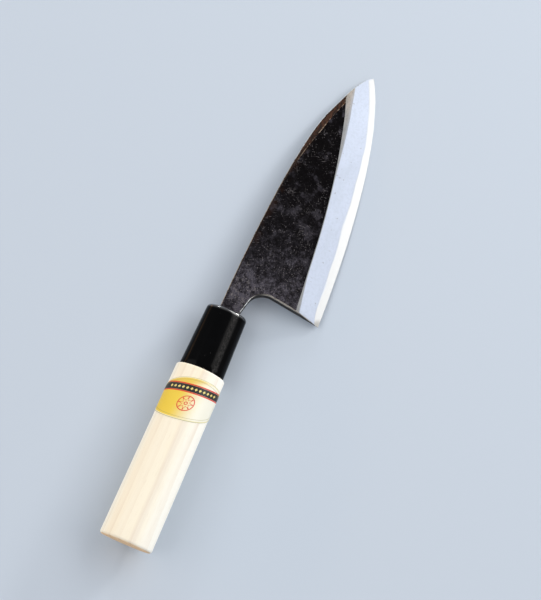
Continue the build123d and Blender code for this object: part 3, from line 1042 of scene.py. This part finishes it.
def wood_finish(look):
    """Pale sanded wood: rings met lengthwise, fine pores, soft blotches and darker end grain."""
    made = Finish("pale_wood_and_painted_light")
    at = made.place()
    x, y, z = made.parts(at)
    sway = made.noise(at, 30.0, 3.0, 0.5, (7.0, 1.0, 1.0)) * 5.0
    ripple = made.noise(at, 5.0, 3.0, 0.55, (14.0, 1.0, 1.0)) * 0.9
    across = y - RING_CENTRE[0]
    depth = z - RING_CENTRE[1]
    radius = (across * across + depth * depth) ** 0.5 + sway + ripple
    ring_part = made.node("ShaderNodeMath", {"operation": "FRACT"}, {0: radius / RING_WIDTH})
    late = made.step(ring_part, 0.60, 0.94) * (1.0 - made.step(ring_part, 0.955, 0.995))
    patch = made.noise(at, 12.0, 3.0, 0.5, (7.0, 1.0, 1.0))
    pores = made.step(made.noise(at, 0.24, 3.0, 0.6, (20.0, 1.0, 1.0)), 0.56, 0.72)
    fibre = made.noise(at, 0.7, 4.0, 0.6, (26.0, 1.0, 1.0))
    tint = made.mix(made.step(patch, 0.38, 0.66), look.pale, times(look.pale, (0.985, 0.95, 0.90)))
    # Painted light across the handle: paler on the edge's side and at the rim on the spine's side, where the
    # light falls brightest, and warmer on the spine's side, as painted warm light
    tint = made.mix((1.0 - made.step(y, -11.5, 0.0)) * 0.95, tint, (0.99, 0.965, 0.885))
    tint = made.mix(made.step(y, 4.0, 10.0) * 0.75, tint, (1.0, 0.895, 0.70))
    tint = made.mix(made.step(y, 9.5, 12.5) * 0.9, tint, (1.0, 0.975, 0.84))
    tint = made.mix(late * (0.12 + 0.26 * made.step(patch, 0.36, 0.66)), tint, look.line)
    # One wide greyer ring along the middle
    band = made.near(y + 0.4 * ripple, -2.6, 1.4, 0.9) * made.step(patch, 0.25, 0.50)
    tint = made.mix(band * 0.42, tint, (0.82, 0.72, 0.62))
    tint = made.mix(made.step(fibre, 0.5, 0.8) * 0.20, tint, (0.78, 0.63, 0.45))
    tint = made.mix(pores * 0.16, tint, (0.62, 0.47, 0.31))
    end = 1.0 - made.step(x, WOOD_REAR + 0.05, WOOD_REAR + 0.65)
    speckle = made.step(made.noise(at, 0.35, 3.0, 0.6), 0.45, 0.7)
    end_tint = made.mix(late * 0.6, look.end, (0.60, 0.38, 0.20))
    end_tint = made.mix(speckle * 0.35, end_tint, (0.90, 0.70, 0.48))
    tint = made.mix(end, tint, end_tint)
    height = 0.55 * fibre + 0.25 * late - 0.35 * pores
    rough = 0.60 + 0.12 * fibre + 0.12 * end
    return made.set(
        Base_Color=tint, Roughness=rough, Specular_IOR_Level=0.3, Normal=made.bump(height, 0.00005)
    )


def label_finish(look):
    """Printed paper: a gold ground painted paler to one side as glare, a dark band with red edges and a red
    rosette.
    """
    made = Finish("label_print_and_glare")
    at = made.local()
    s, q, rim = made.parts(at)
    grain = made.noise(at, 0.8, 3.0, 0.6)
    # The ground fades from gold to cream across the label: painted glare on the glossy paper.
    fade = made.step(-1.0 * s + 2.5 * (grain - 0.5), -6.0, 9.0)
    tint = made.mix(fade, look.gold, look.glare_cream)
    # The ground stays gold beside the ferrule
    front = made.step(q + 0.25 * s, 7.4, 10.2)
    tint = made.mix(front * 0.75, tint, (0.80, 0.57, 0.10))
    # Lozenges along the band
    band = made.near(q, LABEL_BAND, 1.75, 0.06)
    edges = made.near(abs(q - LABEL_BAND), 2.1, 0.3, 0.06)
    cell = made.node("ShaderNodeMath", {"operation": "PINGPONG"}, {0: s, 1: LOZENGE_STEP})
    lozenge = 1.0 - made.step(abs(cell - LOZENGE_STEP / 2) * 1.1 + abs(q - LABEL_BAND), 0.72, 0.86)
    lozenge_row = lozenge * (1.0 - made.step(abs(s), 12.4, 12.8))
    tint = made.mix(band, tint, look.band)
    tint = made.mix(edges, tint, look.red)
    tint = made.mix(lozenge_row, tint, (0.80, 0.66, 0.20))
    # Rosette: two rings and eight petals
    away_q = q - LABEL_ROSETTE
    out = (s * s + away_q * away_q) ** 0.5
    turn = made.node("ShaderNodeMath", {"operation": "ARCTAN2"}, {0: away_q, 1: s})
    wave = made.node("ShaderNodeMath", {"operation": "COSINE"}, {0: turn * PETALS})
    petals = made.near(out, 2.15 + 0.45 * wave, 0.16, 0.05)
    rings = made.near(out, 3.9, 0.22, 0.05) + made.near(out, 0.7, 0.2, 0.05)
    rays = made.step(wave, 0.72, 0.86) * made.near(out, 3.15, 0.4, 0.05)
    tint = made.mix(petals + rings + rays, tint, look.red)
    tint = made.mix(made.near(rim, 0.885, 0.006, 0.004), tint, (0.42, 0.36, 0.10))
    tint = made.mix(made.step(rim, 0.95, 0.962), tint, (0.92, 0.84, 0.52))
    tint = made.mix(made.step(rim, 0.985, 0.992), tint, (0.42, 0.40, 0.16))
    ink = 0.4 * (band + edges) + 0.3 * grain
    return made.set(Base_Color=tint, Roughness=0.34 + 0.1 * grain, Normal=made.bump(ink, 0.00002, 0.5))


class DEBA_OT_blade(bpy.types.Operator):
    """Makes the blade's two layers: soft iron above and hard steel on the back"""

    bl_idname = "deba.blade"
    bl_label = "Blade"

    def execute(self, context):
        look = context.scene.deba_blade
        plan, faces, outline, level = blade_grid(look.stations)
        arris = look.arris / MM
        makers = {
            "scale": scale_finish,
            "facet": facet_finish,
            "arris": arris_finish,
            "side": side_finish,
            "bevel": bevel_finish,
            "grey": grey_finish,
            "steel": steel_finish,
            "back": back_finish,
        }
        finishes = {name: make(look) for name, make in makers.items()}
        layers = (("iron_layer", "blade_iron", "iron"), ("steel_layer", "blade_steel", "steel"))
        for name, node, slot in layers:
            upper = slot == "iron"
            layer = blade_layer(plan, faces, outline, level, arris, upper)
            points, layer_faces, finish, ground = with_tang(*layer) if upper else layer
            used = sorted(set(finish))
            which = [used.index(kind) for kind in finish]
            materials = [finishes[kind] for kind in used]
            make_piece(name, node, points, layer_faces, materials, which, ground)
        return {"FINISHED"}


class DEBA_OT_ferrule(bpy.types.Operator):
    """Makes the black ferrule, with its rounded shoulder, the slot for the neck and its bore"""

    bl_idname = "deba.ferrule"
    bl_label = "Ferrule"

    def execute(self, context):
        look = context.scene.deba_ferrule
        round_by = look.shoulder / MM
        rear = -FERRULE_LENGTH

        def outer(x, inset=0.0):
            return tube(x, FERRULE_SIZE, FERRULE_GROW * -x / FERRULE_LENGTH, inset)

        radius, between = REAR_ROUND
        rings = [outer(rear, radius), outer(rear + between, between), outer(rear + radius)]
        rings += [outer(x) for x in np.linspace(rear, FERRULE_FRONT - round_by, 12)[1:]]
        rings += rim(outer, FERRULE_FRONT, round_by, range(10, 91, 10))
        slot = (SPINE_Y - NECK_Y + SLOT_ROOM, THICKNESS + SLOT_ROOM)
        mouth = slot_ring(FERRULE_FRONT, slot[0] + 2 * SLOT_CHAMFER, slot[1] + 2 * SLOT_CHAMFER, SLOT_CORNER)
        rings += [rings[-1] * 0.55 + mouth * 0.45, mouth]
        rings.append(slot_ring(FERRULE_FRONT - SLOT_CHAMFER, *slot, SLOT_CORNER))
        rings.append(slot_ring(-FERRULE_FRONT_WALL, *slot, SLOT_CORNER))
        rings += [tube(x, FERRULE_SIZE, -2 * FERRULE_WALL) for x in (-FERRULE_FRONT_WALL, rear)]
        points, faces = skin(rings, close=True)
        make_piece("ferrule_cap", "ferrule", points, faces, [ferrule_finish(look)])
        return {"FINISHED"}


def wood_grow(x):
    """How much wider and higher the wood is at x than behind the ferrule."""
    return WOOD_GROW * (-FERRULE_LENGTH - x) / WOOD_LENGTH


def wood_ring(x, inset=0.0):
    """A ring of the wood's outside."""
    return tube(x, WOOD_SIZE, wood_grow(x), inset)


def wood_skin(x, s, over):
    """Point on the wood at x, s millimetres round from its top towards the spine, over its surface."""
    y, z, _ = arc_point(oval_arcs(*(side + wood_grow(x) for side in WOOD_SIZE)), abs(s), over)
    return x, math.copysign(y, s) if s else 0.0, z


class DEBA_OT_wood(bpy.types.Operator):
    """Makes the oval wooden handle, with its rounded rims, its tenon and the hole for the tang"""

    bl_idname = "deba.wood"
    bl_label = "Wood"

    def execute(self, context):
        look = context.scene.deba_wood
        first, last = look.front_round / MM, look.rear_round / MM
        nose = -FERRULE_FRONT_WALL - NOSE_ROOM

        def tenon(x):
            return tube(x, FERRULE_SIZE, -2 * FERRULE_WALL - TENON_ROOM)

        rings = []
        for x, tall, thick in ((TANG[1][0] - HOLE_ROOM / 2, *TANG[1][1:]), (nose, *TANG[0][1:])):
            rings.append(slot_ring(x, tall + HOLE_ROOM, thick + HOLE_ROOM, HOLE_CORNER))
        rings += [tenon(nose), tenon(-FERRULE_LENGTH)]
        rings += rim(wood_ring, -FERRULE_LENGTH, first, range(90, -1, -10))
        rings += [wood_ring(x) for x in np.linspace(-FERRULE_LENGTH - first, WOOD_REAR + last, 16)[1:]]
        rings += rim(wood_ring, WOOD_REAR, -last, range(10, 91, 10))
        flat = rings[-1]
        centre = flat.mean(axis=0)
        rings += [centre + (flat - centre) * part for part in (0.75, 0.5, 0.25)]
        points, faces = skin(rings, caps=True)
        make_piece("wooden_handle", "handle", points, faces, [wood_finish(look)])
        return {"FINISHED"}


class DEBA_OT_label(bpy.types.Operator):
    """Makes the printed oval label round the upper side of the wood"""

    bl_idname = "deba.label"
    bl_label = "Label"

    def execute(self, context):
        look = context.scene.deba_label
        rows, prints = [], []
        layers = [(part, LABEL_THICK) for part in LABEL_RINGS] + [(1.003, LABEL_THICK * 0.5)]
        layers += [(part, 0.0) for part in LABEL_RINGS[::-1]]
        for part, over in layers:
            row, flat = [], []
            for angle in np.linspace(0, 2 * math.pi, LABEL_AROUND, endpoint=False):
                across = LABEL_HALF[0] * part * math.cos(angle)
                along = LABEL_HALF[1] * part * math.sin(angle)
                s = across * math.cos(LABEL_TURN) - along * math.sin(LABEL_TURN)
                x = LABEL_X + across * -math.sin(LABEL_TURN) + along * math.cos(LABEL_TURN)
                row.append(wood_skin(x, s, over))
                flat.append((across, along, part))
            rows.append(np.array(row))
            prints.append(np.array(flat))
        points, faces = skin(rows)
        finish = label_finish(look)
        make_piece("printed_label", "label", points, faces, [finish], local=np.vstack(prints))
        return {"FINISHED"}


class DEBA_OT_stage(bpy.types.Operator):
    """Makes the floor, the lights, the surroundings and the camera"""

    bl_idname = "deba.stage"
    bl_label = "Stage"

    def execute(self, context):
        look = context.scene.deba_stage
        scene = context.scene
        mesh = bpy.data.meshes.new("floor")
        corners = [(x * FLOOR_HALF, y * FLOOR_HALF, 0) for x, y in ((-1, -1), (1, -1), (1, 1), (-1, 1))]
        mesh.from_pydata(corners, [], [(0, 1, 2, 3)])
        made = Finish("pale_floor")
        mesh.materials.append(made.set(Base_Color=tuple(look.floor), Roughness=0.85, Specular_IOR_Level=0.2))
        floor = bpy.data.objects.new("floor", mesh)
        scene.collection.objects.link(floor)

        for name, (setting, part, *rest) in LIGHTS.items():
            self.light(name, getattr(look, setting) * part, *rest)
        self.surround(look.fill)

        camera = bpy.data.cameras.new("camera")
        camera.lens = look.lens
        camera.sensor_width = 36.0
        camera.clip_start = 0.01
        eye = bpy.data.objects.new("camera", camera)
        right = Vector(np.array(CAMERA_RIGHT) @ KNIFE_AXES)
        back = -Vector(np.array(CAMERA_AHEAD) @ KNIFE_AXES)
        up = back.cross(right)
        turn = Matrix((right, up, back)).transposed().to_4x4()
        eye.matrix_world = Matrix.Translation(to_row([CAMERA_AT])[0]) @ turn
        scene.collection.objects.link(eye)
        scene.camera = eye
        scene.view_settings.view_transform = "Standard"
        return {"FINISHED"}

    def light(self, name, watts, at, size, tint, spread):
        """A rectangular light that faces the knife, its beam no wider than spread."""
        lamp = bpy.data.lights.new(name, "AREA")
        lamp.shape = "RECTANGLE"
        lamp.size, lamp.size_y = size
        lamp.energy = watts
        lamp.color = tint
        lamp.spread = spread
        made = bpy.data.objects.new(name, lamp)
        made.location = at
        made.rotation_euler = (-Vector(at)).to_track_quat("-Z", "Y").to_euler()
        bpy.context.scene.collection.objects.link(made)

    def surround(self, strength):
        """Even pale surroundings."""
        world = bpy.data.worlds.new("surroundings")
        world.use_nodes = True
        sky = world.node_tree.nodes["Background"]
        sky.inputs["Color"].default_value = SURROUNDINGS
        sky.inputs["Strength"].default_value = strength
        bpy.context.scene.world = world


class DEBA_PT_panel(bpy.types.Panel):
    """Lists what the knife is made of"""

    bl_label = "Deba knife"
    bl_idname = "DEBA_PT_panel"
    bl_space_type = "VIEW_3D"
    bl_region_type = "UI"
    bl_category = "Deba"

    def draw(self, context):
        for operator in OPERATORS:
            self.layout.operator(operator.bl_idname)
        for name in SETTINGS:
            group = getattr(context.scene, name)
            for key in group.bl_rna.properties.keys():
                if key not in ("rna_type", "name"):
                    self.layout.prop(group, key)


SETTINGS = {
    "deba_blade": BladeSettings,
    "deba_ferrule": FerruleSettings,
    "deba_wood": WoodSettings,
    "deba_label": LabelSettings,
    "deba_stage": StageSettings,
}
OPERATORS = (DEBA_OT_blade, DEBA_OT_ferrule, DEBA_OT_wood, DEBA_OT_label, DEBA_OT_stage)


def register():
    """Registers the settings, the operators and the panel."""
    for group in (*SETTINGS.values(), *OPERATORS, DEBA_PT_panel):
        bpy.utils.register_class(group)
    for name, group in SETTINGS.items():
        setattr(bpy.types.Scene, name, PointerProperty(type=group))


def unregister():
    """Takes back what register adds."""
    for name in SETTINGS:
        delattr(bpy.types.Scene, name)
    for group in (DEBA_PT_panel, *reversed(OPERATORS), *reversed(SETTINGS.values())):
        bpy.utils.unregister_class(group)


def main():
    """Makes every piece in turn."""
    register()
    bpy.ops.deba.blade()
    bpy.ops.deba.ferrule()
    bpy.ops.deba.wood()
    bpy.ops.deba.label()
    bpy.ops.deba.stage()
    bpy.context.view_layer.update()


if __name__ == "__main__":
    main()
